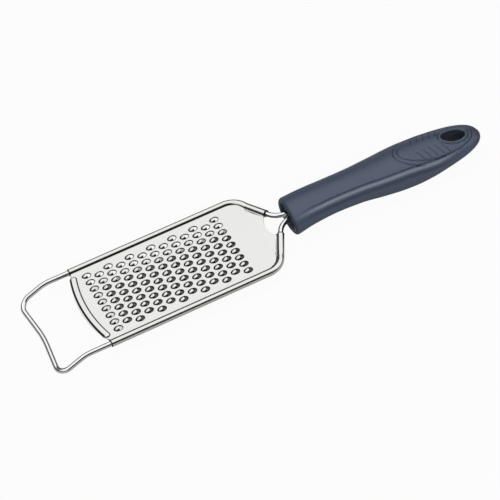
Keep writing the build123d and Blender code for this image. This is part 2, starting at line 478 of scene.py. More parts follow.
@dataclass(frozen=True)
class Layout:
    """Sizes that several pieces share, in millimetres, with X from the first row of teeth."""

    wire_radius: float = 1.5
    rail_half_spacing: float = 30.6
    foot_drop: float = 7.3
    loop_reach: float = 32.05
    loop_slope_run: float = 17.0
    loop_dent: float = 2.9
    tang_half_spacing: float = 2.3
    tang_rise: float = 2.9
    tang_length: float = 32.0
    last_row_x: float = 79.8
    hem_front_x: float = -8.6
    shoulder_from_last_row: float = 15.6
    shoulder_to_neck: float = 14.5
    fold_from_shoulder: float = 9.0
    neck_to_handle: float = 5.1
    handle_length: float = 124.0
    slope_bend_radius: float = 16.5
    loop_corner_radius: float = 6.8
    loop_dent_radius: float = 67.0
    shoulder_radius: float = 11.3
    neck_radius: float = 10.5
    fold_radius: float = 12.0
    fold_ease: float = 1.5

    @property
    def loop_x(self) -> float:
        """Where the front of the loop stands."""
        return self.hem_front_x - self.loop_reach

    @property
    def shoulder_x(self) -> float:
        """Where the rails turn in."""
        return self.last_row_x + self.shoulder_from_last_row

    @property
    def neck_x(self) -> float:
        """Where both wires turn into the handle."""
        return self.shoulder_x + self.shoulder_to_neck

    @property
    def handle_x(self) -> float:
        """The handle's front face."""
        return self.neck_x + self.neck_to_handle

    @property
    def tip_x(self) -> float:
        """The handle's tip."""
        return self.handle_x + self.handle_length

    @property
    def foot_z(self) -> float:
        """Height of the wire's middle in the front loop."""
        return self.wire_radius

    @property
    def rail_z(self) -> float:
        """Height of the rails and the sheet."""
        return self.foot_z + self.foot_drop

    @property
    def tang_z(self) -> float:
        """Height of the tangs."""
        return self.rail_z + self.tang_rise

    @property
    def fold_share(self) -> float:
        """How far the fold lies from the shoulder to the neck."""
        run = math.hypot(self.shoulder_to_neck, self.rail_half_spacing - self.tang_half_spacing)
        return self.fold_from_shoulder / run

    @property
    def fold_x(self) -> float:
        """Where the sheet and the wires start to climb to the handle."""
        return self.shoulder_x + self.fold_share * self.shoulder_to_neck

    @property
    def fold_y(self) -> float:
        """How far out the wires are at the fold."""
        inward = self.tang_half_spacing - self.rail_half_spacing
        return self.rail_half_spacing + self.fold_share * inward

    def side_corners(self, side: int) -> list[Vector]:
        """Corners of the wire on one side, from the middle of the loop to the tang's end.

        Args:
            side: 1 for the far side and -1 for the near side.

        Returns:
            The corner points.
        """
        out = side * self.rail_half_spacing
        tang_y = side * self.tang_half_spacing
        return [
            Vector((self.loop_x + self.loop_dent, 0, self.foot_z)),
            Vector((self.loop_x, out, self.foot_z)),
            Vector((self.loop_x + self.loop_slope_run, out, self.rail_z)),
            Vector((self.shoulder_x, out, self.rail_z)),
            Vector((self.fold_x, side * self.fold_y, self.rail_z)),
            Vector((self.neck_x, tang_y, self.tang_z)),
            Vector((self.handle_x + self.tang_length, tang_y, self.tang_z)),
        ]

    def climb(self, x: float) -> float:
        """Height of the sheet's middle at a station, flat and then climbing behind the fold.

        Args:
            x: the station.

        Returns:
            The height.
        """
        slope = self.tang_rise / (self.neck_x - self.fold_x)
        ease = self.fold_ease
        past = x - self.fold_x
        if past <= -ease:
            return self.rail_z
        if past >= ease:
            return self.rail_z + slope * past
        return self.rail_z + slope * (past + ease) ** 2 / (4 * ease)


LAYOUT = Layout()
HANDLE_TIP_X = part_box("handle_body")[1][0]


# Wire frame


@dataclass
class WireFrame:
    """One bent wire: tang, neck, shoulder, rail, sloped leg and front loop, then the same back."""

    layout: Layout
    bend_step: float = 3.0
    sides: int = 24
    sharp_degrees: float = 50.0

    def build(self) -> bpy.types.Object:
        """Sweep a round section along the wire.

        Returns:
            The wire's object.
        """
        part = self.layout
        corners = part.side_corners(1)[::-1] + part.side_corners(-1)[1:]
        one_side = [
            part.neck_radius,
            part.fold_radius,
            part.shoulder_radius,
            part.slope_bend_radius,
            part.loop_corner_radius,
        ]
        stations = path_stations(corners, one_side + [part.loop_dent_radius] + one_side[::-1], self.bend_step)
        draft = Draft()
        rings = []
        run = 0.0
        last = stations[0][0]
        for point, direction in stations:
            run += (point - last).length
            last = point
            across = Vector((0, 0, 1)).cross(direction).normalized()
            upward = direction.cross(across)
            spots, grains = [], []
            for i in range(self.sides):
                angle = math.tau * i / self.sides
                offset = (across * math.cos(angle) + upward * math.sin(angle)) * part.wire_radius
                spots.append(point + offset)
                grains.append(Vector((run, offset.dot(across), offset.dot(upward))))
            rings.append(draft.row(spots, grains))
        for first, second in zip(rings, rings[1:]):
            draft.bridge(first, second, closed=True)
        draft.fan(rings[0], stations[0][0], flip=True)
        draft.fan(rings[-1], stations[-1][0], flip=False)
        piece = draft.mesh("bent_wire")
        settle(piece, self.sharp_degrees)
        return piece

    def dress(self, piece: bpy.types.Object) -> None:
        """Give the wire its drawn steel and put it in place of its solid."""
        finish_piece(piece, DRAWN_WIRE.make(), "wire_frame")


# Grating plate


@dataclass
class GratingPlate:
    """The stamped sheet with its teeth, the rib at its front and a hem rolled round each rail."""

    layout: Layout
    thickness: float = 0.5
    sharp_degrees: float = 40.0
    hem_clearance: float = 0.05
    hem_fillet_radius: float = 1.2
    hem_end_angle: float = -140.0
    hem_end_from_shoulder: float = 24.2
    hem_bend_step: float = 3.0
    hem_points: int = 30
    fillet_points: int = 6
    cut_edge_width: float = 0.5
    # The shade painted at a cut edge fades out at so many of its widths
    cut_edge_fade: float = 1.5
    corner_painted_shade: float = 0.45
    corner_spread: float = 2.2
    front_bulge: float = 5.5
    front_steps: int = 40
    scallop_depth: float = 4.8
    scallop_steps: int = 16
    fold_line_clearance: float = 0.15
    fold_line_steps: int = 8
    merge_distance: float = 1e-5
    tooth_rows: int = 13
    teeth_across: int = 9
    tooth_pitch: float = 5.7
    row_pitch: float = 6.65
    tooth_points: int = 32
    mouth_offset: float = -0.35
    hood_reach: float = 2.65
    hood_half_width: float = 1.7
    hood_height: float = 1.35
    # How full the hood's curve is on its flanks and at its nose, and how round its top
    hood_flank_power: float = 2.0
    hood_nose_power: float = 1.8
    hood_flank_roundness: float = 0.5
    hood_nose_roundness: float = 0.45
    hole_reach: float = 2.1
    foot_height: float = 0.12
    foot_fade_power: float = 6.0
    # How far each ring stands outside the foot, its share of the foot's height, and the shade painted on it
    foot_rings: tuple[tuple[float, float, float], ...] = (
        (0.55, 0.0, 0.0), (0.4, 0.0, 1.0), (0.15, 0.25, 1.0), (0.02, 1.0, 1.0),
    )
    arch_shares: tuple[float, ...] = (0.965, 0.9, 0.81, 0.7, 0.57, 0.43, 0.29, 0.15, 0.0)
    painted_shade_arches: float = 4.9
    nose_shade_ease: float = 0.6
    rib_setback: float = 2.9
    rib_bulge: float = 3.1
    rib_half_span: float = 24.0
    rib_half_width: float = 1.8
    rib_height: float = 0.9
    rib_points: int = 40
    rib_end_steps: int = 12
    # Share of the rib's half width and of its height, then the shade painted on its front and on its rear
    rib_contours: tuple[tuple[float, float, float, float], ...] = (
        (1.30, 0.00, 0.0, 0.0),
        (1.20, 0.00, 1.0, 0.0),
        (1.00, 0.03, 1.0, 0.8),
        (0.92, 0.16, 1.0, 0.8),
        (0.84, 0.45, 1.0, 0.8),
        (0.76, 0.74, 1.0, 0.0),
        (0.68, 0.92, 1.0, 0.0),
        (0.56, 0.99, 0.0, 0.0),
        (0.30, 1.00, 0.0, 0.0),
        (0.00, 1.00, 0.0, 0.0),
    )
    draft: Draft = field(default_factory=Draft)

    @property
    def hem_mid_radius(self) -> float:
        """Radius of the middle of the rolled sheet round the wire."""
        return self.layout.wire_radius + self.hem_clearance + self.thickness / 2

    @property
    def hem_foot(self) -> float:
        """How far inside the wire's middle the flat sheet ends."""
        radius = self.hem_mid_radius
        return math.sqrt(radius ** 2 + 2 * radius * self.hem_fillet_radius)

    def hem_profile(self) -> list[tuple[float, float]]:
        """Points across the hem, from the flat sheet up its fillet, over the wire and under it.

        Returns:
            Distance outward from the wire's middle and height above it, for each point.
        """
        fillet, mid, foot = self.hem_fillet_radius, self.hem_mid_radius, self.hem_foot
        join = math.degrees(math.atan2(fillet, -foot))
        rise = join - 90
        spots = []
        last = self.fillet_points - 1
        for step in range(self.fillet_points):
            angle = math.radians(-90 + rise * step / last)
            spots.append((-foot + fillet * math.cos(angle), fillet + fillet * math.sin(angle)))
        turn = join - self.hem_end_angle
        for step in range(1, self.hem_points + 1):
            angle = math.radians(join - turn * step / self.hem_points)
            spots.append((mid * math.cos(angle), mid * math.sin(angle)))
        return spots

    def hem(self, side: int) -> list[Vector]:
        """Draw one hem along its rail, round the shoulder and up to its end at the scallop.

        Args:
            side: 1 for the far side and -1 for the near side.

        Returns:
            The line along which it joins the flat sheet, from the front.
        """
        part = self.layout
        _, _, _, shoulder, fold, neck, _ = part.side_corners(1)
        start = Vector((part.hem_front_x, part.rail_half_spacing, part.rail_z))
        end = fold + (neck - fold).normalized() * (self.hem_end_from_shoulder - part.fold_from_shoulder)
        corners, radii = [start, shoulder, fold, end], [part.shoulder_radius, part.fold_radius]
        stations = path_stations(corners, radii, self.hem_bend_step)
        leaving, arriving = stations[0][1], stations[-1][1]
        lip = self.cut_edge_width
        stations[1:1] = [(start + leaving * lip * reach, leaving) for reach in (1.0, self.cut_edge_fade)]
        stations[-1:-1] = [(end - arriving * lip * reach, arriving) for reach in (self.cut_edge_fade, 1.0)]
        slope_normal = Vector((-part.tang_rise, 0, part.neck_x - part.fold_x)).normalized()
        profile = self.hem_profile()
        rows, joint = [], []
        run = 0.0
        last = stations[0][0]
        for point, direction in stations:
            run += (point - last).length
            last = point
            climbing = min(max((point.x - part.fold_x) / (2 * part.fold_ease) + 0.5, 0), 1)
            normal = Vector((0, 0, 1)).lerp(slope_normal, climbing).normalized()
            outward = normal.cross(direction).normalized()
            spots = [point + outward * u + normal * v for u, v in profile]
            # The fillet starts on the sheet and eases over to the hem's own height
            gap = part.climb(spots[0].x) - spots[0].z
            for number in range(self.fillet_points):
                spots[number].z += gap * (1 - number / self.fillet_points)
            spots = [Vector((s.x, side * s.y, s.z)) for s in spots]
            joint.append(spots[0])
            grains = [Vector((run, u + side * part.rail_half_spacing, v)) for u, v in profile]
            # The two rows at each end are painted dark as shade at the cut edge; between them shade is
            # painted in the inner corner
            at_end = len(rows) < 2 or len(rows) > len(stations) - 3
            corner = []
            for number in range(len(spots)):
                away = (number - self.fillet_points + 1) / self.corner_spread
                corner.append(self.corner_painted_shade * math.exp(-away ** 2))
            rows.append(self.draft.row(spots, grains, [1.0] * len(spots) if at_end else corner))
        for first, second in zip(rows, rows[1:]):
            self.draft.bridge(first, second, closed=False)
        return joint

    def tooth_loops(self) -> tuple[list[list[Vector]], list[list[Vector]]]:
        """Contours of one tooth round its centre: whole rings at its foot, then arches up to its mouth.

        Returns:
            The rings from the outside in, and the arches from the foot to the top of the mouth.
        """
        count = self.tooth_points
        quarter = count // 4
        rings = []
        for grow, height_share, _ in self.foot_rings:
            half_width = self.hood_half_width + grow
            ring = []
            for i in range(count):
                c, s = math.cos(math.tau * i / count), math.sin(math.tau * i / count)
                ahead = not quarter < i < 3 * quarter
                reach = (self.hood_reach if ahead else self.hole_reach) + grow
                fade = 1.0 if ahead else abs(s) ** self.foot_fade_power
                height = self.foot_height * height_share * fade
                ring.append(Vector((self.mouth_offset - reach * c, half_width * s, height)))
            rings.append(ring)
        arches = []
        for share in self.arch_shares:
            arch = []
            for i in range(-quarter, quarter + 1):
                c, s = math.cos(math.tau * i / count), math.sin(math.tau * i / count)
                nose = c * c
                power = self.hood_flank_power * (1 - nose) + self.hood_nose_power * nose
                lift = (1 - share ** power) ** (self.hood_flank_roundness + self.hood_nose_roundness * nose)
                arch.append(Vector((
                    self.mouth_offset - self.hood_reach * share * c,
                    self.hood_half_width * share * s,
                    self.foot_height + (self.hood_height - self.foot_height) * lift,
                )))
            arches.append(arch)
        return rings, arches

    def tooth(self, x: float, y: float, rings: list[list[Vector]], arches: list[list[Vector]]) -> None:
        """Draw one tooth.

        Args:
            x: its centre along the plate.
            y: its centre across the plate.
            rings: the rings at its foot.
            arches: the arches of its hood.
        """
        centre = Vector((x, y, self.layout.rail_z))
        rows = []
        # The rings at the foot are painted dark, a shade line round each tooth
        for ring, (_, _, painted_light) in zip(rings, self.foot_rings):
            rows.append(self.draft.row([centre + p for p in ring], painted_light=[painted_light] * len(ring)))
        for first, second in zip(rows, rows[1:]):
            self.draft.bridge(first, second, closed=True)
        quarter = self.tooth_points // 4
        foot = rows[-1][-quarter:] + rows[-1][:quarter + 1]
        for number, arch in enumerate(arches):
            # Shade is painted dark on the hood's flanks, less towards the nose
            painted_light = []
            for place in range(len(arch)):
                nose = math.cos(math.tau * (place - quarter) / self.tooth_points)
                reach = self.painted_shade_arches * (1 - self.nose_shade_ease * nose)
                painted_light.append(min(max(reach - number, 0), 1))
            row = self.draft.row([centre + p for p in arch], painted_light=painted_light)
            self.draft.bridge(foot, row, closed=False)
            foot = row

    def tooth_places(self) -> list[tuple[float, float]]:
        """Centres of the teeth: full rows, and rows with one tooth fewer set between them.

        Returns:
            The place of each tooth along and across the plate.
        """
        places = []
        for row in range(self.tooth_rows):
            count = self.teeth_across - row % 2
            for column in range(count):
                places.append((row * self.row_pitch, (column - (count - 1) / 2) * self.tooth_pitch))
        return places

    def forward_arc(self, setback: float, half_chord: float, bulge: float) -> tuple[float, float]:
        """An arc across the plate that bulges to the front.

        Args:
            setback: how far its foremost point lies behind the sheet's.
            half_chord: half of its chord.
            bulge: how far it bulges over that chord.

        Returns:
            The place of its centre along the plate, and its radius.
        """
        radius = (half_chord ** 2 + bulge ** 2) / (2 * bulge)
        return self.layout.hem_front_x - self.front_bulge + setback + radius, radius

    def rib_loop(self, half_width: float, height: float) -> list[Vector]:
        """One contour of the rib: a curved slot with round ends.

        Args:
            half_width: how far it stands from the rib's middle line.
            height: how high it lies above the sheet.

        Returns:
            The contour's points.
        """
        centre_x, radius = self.forward_arc(self.rib_setback, self.rib_half_span, self.rib_bulge)
        swing = math.asin(self.rib_half_span / radius)
        points, end_steps = self.rib_points, self.rib_end_steps
        loop = []
        # The front side and the end after it, then the rear side and its end
        for way in (1, -1):
            reach = radius + way * half_width
            for step in range(points + 1):
                angle = math.pi + way * swing - way * 2 * swing * step / points
                loop.append((centre_x + reach * math.cos(angle), reach * math.sin(angle)))
            angle = math.pi - way * swing
            middle_x, middle_y = centre_x + radius * math.cos(angle), radius * math.sin(angle)
            for step in range(1, end_steps):
                around = angle + (0 if way == 1 else math.pi) - math.pi * step / end_steps
                loop.append((
                    middle_x + half_width * math.cos(around),
                    middle_y + half_width * math.sin(around),
                ))
        return [Vector((x, y, self.layout.rail_z + height)) for x, y in loop]

    def rib(self) -> list[Vector]:
        """Draw the rib as a smooth ridge.

        Returns:
            The contour where it starts on the flat sheet.
        """
        loops, rows = [], []
        for width_share, height_share, front, rear in self.rib_contours:
            loop = self.rib_loop(self.rib_half_width * width_share, self.rib_height * height_share)
            # A contour starts with its front side, where the bend is tightest; shade is painted on both sides
            painted_light = [front if k <= self.rib_points else rear for k in range(len(loop))]
            loops.append(loop)
            rows.append(self.draft.row(loop, painted_light=painted_light))
        for first, second in zip(rows, rows[1:]):
            self.draft.bridge(first, second, closed=True)
        return loops[0]

    def sheet(self, far: list[Vector], near: list[Vector], holes: list[list[Vector]]) -> None:
        """Draw the flat of the sheet between the hems, round every tooth and the rib.

        Args:
            far: the line of the far hem, from the front.
            near: the line of the near hem, from the front.
            holes: contours that are left open in it.
        """
        end = far[-1]
        deepest = self.hem_end_x() - self.scallop_depth
        depth = end.x - deepest
        radius = (end.y ** 2 + depth ** 2) / (2 * depth)
        half_turn = math.asin(end.y / radius)
        outline = [(p.x, p.y) for p in far]
        for step in range(1, self.scallop_steps):
            angle = half_turn * (1 - 2 * step / self.scallop_steps)
            outline.append((deepest + radius * (1 - math.cos(angle)), radius * math.sin(angle)))
        outline += [(p.x, p.y) for p in reversed(near)]
        half_chord = self.layout.rail_half_spacing - self.hem_foot
        centre_x, radius = self.forward_arc(0, half_chord, self.front_bulge)
        half_turn = math.asin(half_chord / radius)
        for step in range(1, self.front_steps):
            angle = half_turn * (2 * step / self.front_steps - 1)
            outline.append((centre_x - radius * math.cos(angle), radius * math.sin(angle)))
        spots = [Vector(p) for p in outline]
        # The triangulation wants its loops anticlockwise, and these run the other way
        loops = [list(range(len(spots)))[::-1]]
        for hole in holes:
            first = len(spots)
            spots += [Vector((p.x, p.y)) for p in hole]
            loops.append(list(range(first, len(spots)))[::-1])
        edges = []
        steps = self.fold_line_steps
        for share in (-1.0, -0.5, 0.0, 0.5, 1.0):
            x = self.layout.fold_x + self.layout.fold_ease * share
            behind = next(i for i in range(len(far)) if far[i].x > x)
            before, after = far[behind - 1], far[behind]
            y = before.y + (x - before.x) / (after.x - before.x) * (after.y - before.y)
            reach = y - self.fold_line_clearance
            first = len(spots)
            spots += [Vector((x, reach * step / steps)) for step in range(-steps, steps + 1)]
            edges += [(first + i, first + i + 1) for i in range(2 * steps)]
        points, _, faces, _, _, origins = delaunay_2d_cdt(spots, edges, loops, 0, self.merge_distance)
        numbers = [self.draft.add(Vector((p.x, p.y, self.layout.climb(p.x)))) for p in points]
        for face, origin in zip(faces, origins):
            # A face that lies in the outline alone is sheet, and one in a second loop is a hole
            if origin == [0]:
                self.draft.faces.append([numbers[i] for i in face])

    def hem_end_x(self) -> float:
        """Where the hems end along the plate.

        Returns:
            The station.
        """
        part = self.layout
        _, _, _, _, fold, neck, _ = part.side_corners(1)
        past_fold = self.hem_end_from_shoulder - part.fold_from_shoulder
        return part.fold_x + (neck - fold).normalized().x * past_fold

    def build(self) -> bpy.types.Object:
        """Draw hems, rib, teeth and sheet as one surface, and give it the sheet's thickness.

        Returns:
            The plate's object.
        """
        far = self.hem(1)
        near = self.hem(-1)
        holes = [self.rib()]
        rings, arches = self.tooth_loops()
        for x, y in self.tooth_places():
            self.tooth(x, y, rings, arches)
            holes.append([Vector((x, y, 0)) + p for p in rings[0]])
        self.sheet(far, near, holes)
        piece = self.draft.mesh("stamped_plate")
        thicken = piece.modifiers.new("thickness", "SOLIDIFY")
        thicken.thickness = self.thickness * MM
        thicken.offset = 0.0
        thicken.use_even_offset = True
        settle(piece, self.sharp_degrees, weighted=True)
        return piece

    def dress(self, piece: bpy.types.Object) -> None:
        """Give the plate its rolled steel and put it in place of its solid."""
        finish_piece(piece, ROLLED_SHEET.make(), "grating_plate")


# Handle


def arc_points(start: tuple[float, float], middle: tuple[float, float], end: tuple[float, float],
               count: int) -> list[tuple[float, float]]:
    """Points along the circle through three points, without the last one.

    Args:
        start: the first point.
        middle: a point on the way.
        end: the last point.
        count: how many points to give.

    Returns:
        The points from the start, evenly spaced.
    """
    ax, ay = start
    bx, by = middle
    cx, cy = end
    d = 2 * (ax * (by - cy) + bx * (cy - ay) + cx * (ay - by))
    a2, b2, c2 = ax * ax + ay * ay, bx * bx + by * by, cx * cx + cy * cy
    ox = (a2 * (by - cy) + b2 * (cy - ay) + c2 * (ay - by)) / d
    oy = (a2 * (cx - bx) + b2 * (ax - cx) + c2 * (bx - ax)) / d
    radius = math.hypot(ax - ox, ay - oy)
    first = math.atan2(ay - oy, ax - ox)
    halfway = (math.atan2(by - oy, bx - ox) - first) % math.tau
    whole = (math.atan2(cy - oy, cx - ox) - first) % math.tau
    if halfway > whole:
        whole -= math.tau
    angles = [first + whole * i / count for i in range(count)]
    return [(ox + radius * math.cos(a), oy + radius * math.sin(a)) for a in angles]


def box_distance(x: float, y: float, half_x: float, half_y: float, radius: float) -> float:
    """Distance from a point to a rounded rectangle round the origin, negative inside.

    Args:
        x: the point's first coordinate.
        y: its second coordinate.
        half_x: half of the rectangle's length.
        half_y: half of its width.
        radius: the radius of its corners.

    Returns:
        The distance.
    """
    dx, dy = abs(x) - half_x + radius, abs(y) - half_y + radius
    return math.hypot(max(dx, 0), max(dy, 0)) + min(max(dx, dy), 0) - radius


def oval_distance(x: float, y: float, half_x: float, half_y: float) -> float:
    """Nearly the distance from a point to an oval round the origin, negative inside.

    Args:
        x: the point's first coordinate.
        y: its second coordinate.
        half_x: half of the oval's length.
        half_y: half of its width.

    Returns:
        The distance, true close to the oval.
    """
    reach = math.hypot(x / half_x, y / half_y)
    if reach < 0.1:
        return -min(half_x, half_y)
    slope = math.hypot(x / half_x ** 2, y / half_y ** 2) / reach
    return (reach - 1) / slope


@dataclass
class HandleBody:
    """The moulded handle with its front socket, hanging hole, thumb pad and grip grooves."""

    layout: Layout
    half_width: float = 14.4
    crown: float = 9.8
    lip_radius: float = 2.0
    hole_length: float = 14.6
    hole_width: float = 9.0
    hole_from_tip: float = 16.5
    hole_rim_width: float = 2.0
    hole_edge_radius: float = 0.9
    hole_rim_height: float = 0.2
    # How steeply the rim falls off, in widths of the rim
    hole_rim_steepness: float = 3.2
    hole_points: int = 96
    # Heights between which the bar that cuts the hole stands
    cutter_heights: tuple[float, float] = (-5.0, 40.0)
    sharp_degrees: float = 42.0
    pad_length: float = 47.2
    pad_width: float = 21.8
    pad_from_tip: float = 28.4
    pad_border_ahead: float = 2.6
    pad_border_beside: float = 2.8
    pad_border_end: float = 41.0
    groove_half_width: float = 0.5
    groove_depth: float = 0.5
    grip_groove_count: int = 5
    grip_groove_length: float = 6.6
    grip_groove_pitch: float = 3.9
    grip_groove_from_tip: float = 40.3
    grip_groove_offset: float = 6.6
    grip_groove_slant: float = 24.0
    bead_height: float = 0.5
    bead_half_width: float = 1.0
    bead_line_depth: float = 0.35
    bead_line_half_width: float = 0.45
    bead_line_away: float = 1.9
    hollow_depth: float = 0.3
    hollow_half_width: float = 1.2
    hollow_away: float = 2.6
    bead_reach: float = 6.0
    bead_painted_highlight: float = 1.0
    line_painted_shade: float = 0.75
    hollow_painted_shade: float = 0.45
    groove_painted_shade: float = 0.5
    socket_painted_shade: float = 0.25
    hole_painted_shade: float = 0.75
    hole_edge_tolerance: float = 0.05
    front_painted_shade: float = 0.4
    front_reach: float = 1.1
    tip_painted_shade: float = 0.45
    tip_reach: float = 7.0
    bead_fade_front: float = 20.0
    bead_fade_rear: float = 16.0
    bead_end_from_tip: float = 17.0
    socket_half_width: float = 8.4
    socket_half_height: float = 5.6
    socket_corner_radius: float = 4.4
    plug_recess: float = 2.0
    socket_depth: float = 36.2
    # Depth behind the front face, and how far outside the socket's outline its rounded mouth runs there
    socket_mouth: tuple[tuple[float, float], ...] = ((0.0, 0.5), (0.15, 0.15), (0.5, 0.0))
    # The outline is found by halving the space between the middle and this distance
    socket_search: float = 30.0
    socket_halvings: int = 40
    # Station, half width, crown and belly, as shares of the length, half width, crown and tang height
    sections: tuple[tuple[float, float, float, float], ...] = (
        (0.000, 0.890, 0.878, 0.889),
        (0.105, 0.825, 0.960, 0.675),
        (0.220, 0.785, 0.950, 0.607),
        (0.340, 0.805, 0.930, 0.675),
        (0.450, 0.895, 0.930, 0.838),
        (0.565, 0.980, 0.980, 0.980),
        (0.630, 1.000, 1.000, 1.000),
        (0.700, 0.995, 0.980, 0.923),
        (0.780, 0.950, 0.888, 0.744),
        (0.863, 0.860, 0.704, 0.530),
        (0.920, 0.730, 0.551, 0.393),
        (0.965, 0.540, 0.398, 0.248),
        (0.990, 0.320, 0.245, 0.128),
        (1.000, 0.120, 0.110, 0.043),
    )
    crease_width_share: float = 0.82
    crease_height_share: float = 0.62
    crease_drop_share: float = 0.76
    crease_drop_spread: float = 0.12
    crease_drop_width: float = 0.07
    crease_drop_height: float = 0.2
    # How often each corner of a section is eased, and over how many points to both sides
    corner_easings: int = 2
    corner_reach: int = 3
    side_height_share: float = -0.05
    lower_width_share: float = 0.68
    lower_height_share: float = -0.76
    top_columns: int = 96
    side_columns: int = 44
    under_columns: int = 36
    lip_steps: int = 6
    coarse_step: float = 1.5
    fine_step: float = 0.3
    fine_margin: float = 2.0

    def shares_at(self, share: float) -> list[float]:
        """Half width, crown and belly shares at a station, on a smooth curve through the sections.

        Args:
            share: the station as a share of the length.

        Returns:
            The three shares there.
        """
        table = self.sections
        last = len(table) - 1
        i = max(k for k in range(last) if table[k][0] <= share)
        span = table[i + 1][0] - table[i][0]
        t = (share - table[i][0]) / span
        values = []
        for column in (1, 2, 3):
            slopes = []
            for k in (i, i + 1):
                steps = []
                for a, b in ((k - 1, k), (k, k + 1)):
                    if 0 <= a and b <= last:
                        steps.append((table[b][column] - table[a][column]) / (table[b][0] - table[a][0]))
                if len(steps) == 2 and steps[0] * steps[1] <= 0:
                    slopes.append(0.0)
                elif len(steps) == 2:
                    slopes.append(2 * steps[0] * steps[1] / (steps[0] + steps[1]))
                else:
                    slopes.append(steps[0])
            start, end = table[i][column], table[i + 1][column]
            values.append(
                start * (2 * t ** 3 - 3 * t ** 2 + 1) + end * (3 * t ** 2 - 2 * t ** 3)
                + span * (slopes[0] * (t ** 3 - 2 * t ** 2 + t) + slopes[1] * (t ** 3 - t ** 2))
            )
        return values

    def section(self, along: float, inset: float) -> tuple[list[Vector], list[float]]:
        """One ring of points round the handle, with its creases rounded.

        Args:
            along: the distance behind the front face.
            inset: how much smaller it is all round.

        Returns:
            The ring, from the near crease over the top, down the far side and back underneath, and the
            shade or highlight painted at each point.
        """
        share = along / self.layout.handle_length
        width_share, crown_share, belly_share = self.shares_at(share)
        tang_z = self.layout.tang_z
        half_width = width_share * self.half_width - inset
        top = tang_z + crown_share * self.crown - inset
        bottom = tang_z - belly_share * tang_z + inset
        middle, half_height = (top + bottom) / 2, (top - bottom) / 2
        # Beside the pad the crease runs a little lower and further out
        drop = math.exp(-((share - self.crease_drop_share) / self.crease_drop_spread) ** 2)
        crease = (
            (self.crease_width_share + self.crease_drop_width * drop) * half_width,
            middle + (self.crease_height_share - self.crease_drop_height * drop) * half_height,
        )
        side = (half_width, middle + self.side_height_share * half_height)
        lower = (self.lower_width_share * half_width, middle + self.lower_height_share * half_height)
        near_crease, near_side, near_lower = [(-y, z) for y, z in (crease, side, lower)]
        ring = arc_points(near_crease, (0, top), crease, self.top_columns)
        ring += arc_points(crease, side, lower, self.side_columns)
        ring += arc_points(lower, (0, bottom), near_lower, self.under_columns)
        ring += arc_points(near_lower, near_side, near_crease, self.side_columns)
        far_lower = self.top_columns + self.side_columns
        count = len(ring)
        for _ in range(self.corner_easings):
            eased = list(ring)
            for corner in (0, self.top_columns, far_lower, far_lower + self.under_columns):
                for k in range(corner - self.corner_reach, corner + self.corner_reach + 1):
                    before, here, after = ring[k - 1], ring[k % count], ring[(k + 1) % count]
                    eased[k % count] = tuple((a + 2 * b + c) / 4 for a, b, c in zip(before, here, after))
            ring = eased
        behind = self.layout.handle_length - self.bead_end_from_tip - along
        ends = min(along / self.bead_fade_front, behind / self.bead_fade_rear, 1)
        ring, painted_light = self.beaded(ring, max(ends, 0))
        x = self.layout.handle_x + along
        return [Vector((x, y, z)) for y, z in ring], painted_light

    def beaded(self, ring: list[tuple[float, float]],
               strength: float) -> tuple[list[tuple[float, float]], list[float]]:
        """Raise a bead along both creases, with a fine line above it and a hollow below.

        Args:
            ring: the section's points, which start at the near crease.
            strength: how much of the relief is made.

        Returns:
            The ring with its relief, and the light painted at each point: shade in the line and the hollow,
            and a highlight on the bead's ridge.
        """
        count = len(ring)
        relief = [0.0] * count
        painted_light = [0.0] * count
        # Going round the ring, the top lies after the near crease and before the far one
        for crease, towards_top in ((0, 1), (self.top_columns, -1)):
            for direction in (1, -1):
                side = direction * towards_top
                away = 0.0
                k = crease
                while away < self.bead_reach:
                    if not (k == crease and direction == -1):
                        bead, line, hollow = self.bead_parts(side * away)
                        relief[k % count] += (
                            self.bead_height * bead - self.bead_line_depth * line - self.hollow_depth * hollow
                        )
                        # Shade is painted in the line and the hollow, and a highlight on the bead
                        painted_light[k % count] += strength * (
                            self.line_painted_shade * line + self.hollow_painted_shade * hollow - self.bead_painted_highlight * bead
                        )
                    away += math.dist(ring[(k + direction) % count], ring[k % count])
                    k += direction
        raised = []
        for k, (y, z) in enumerate(ring):
            before, after = ring[k - 1], ring[(k + 1) % count]
            run = (after[0] - before[0], after[1] - before[1])
            length = math.hypot(*run) or 1.0
            # The ring goes from the near side over the top, so its left is outside
            lift = relief[k] * strength
            raised.append((y - run[1] / length * lift, z + run[0] / length * lift))
        return raised, painted_light

    def bead_parts(self, away: float) -> tuple[float, float, float]:
        """How much of the bead, its line and its hollow lies at a distance from the crease.

        Args:
            away: the distance round the section, up being positive.

        Returns:
            The share of each that is there.
        """
        bead = math.exp(-(away / self.bead_half_width) ** 2)
        line = math.exp(-((away - self.bead_line_away) / self.bead_line_half_width) ** 2)
        hollow = math.exp(-((away + self.hollow_away) / self.hollow_half_width) ** 2)
        return bead, line, hollow

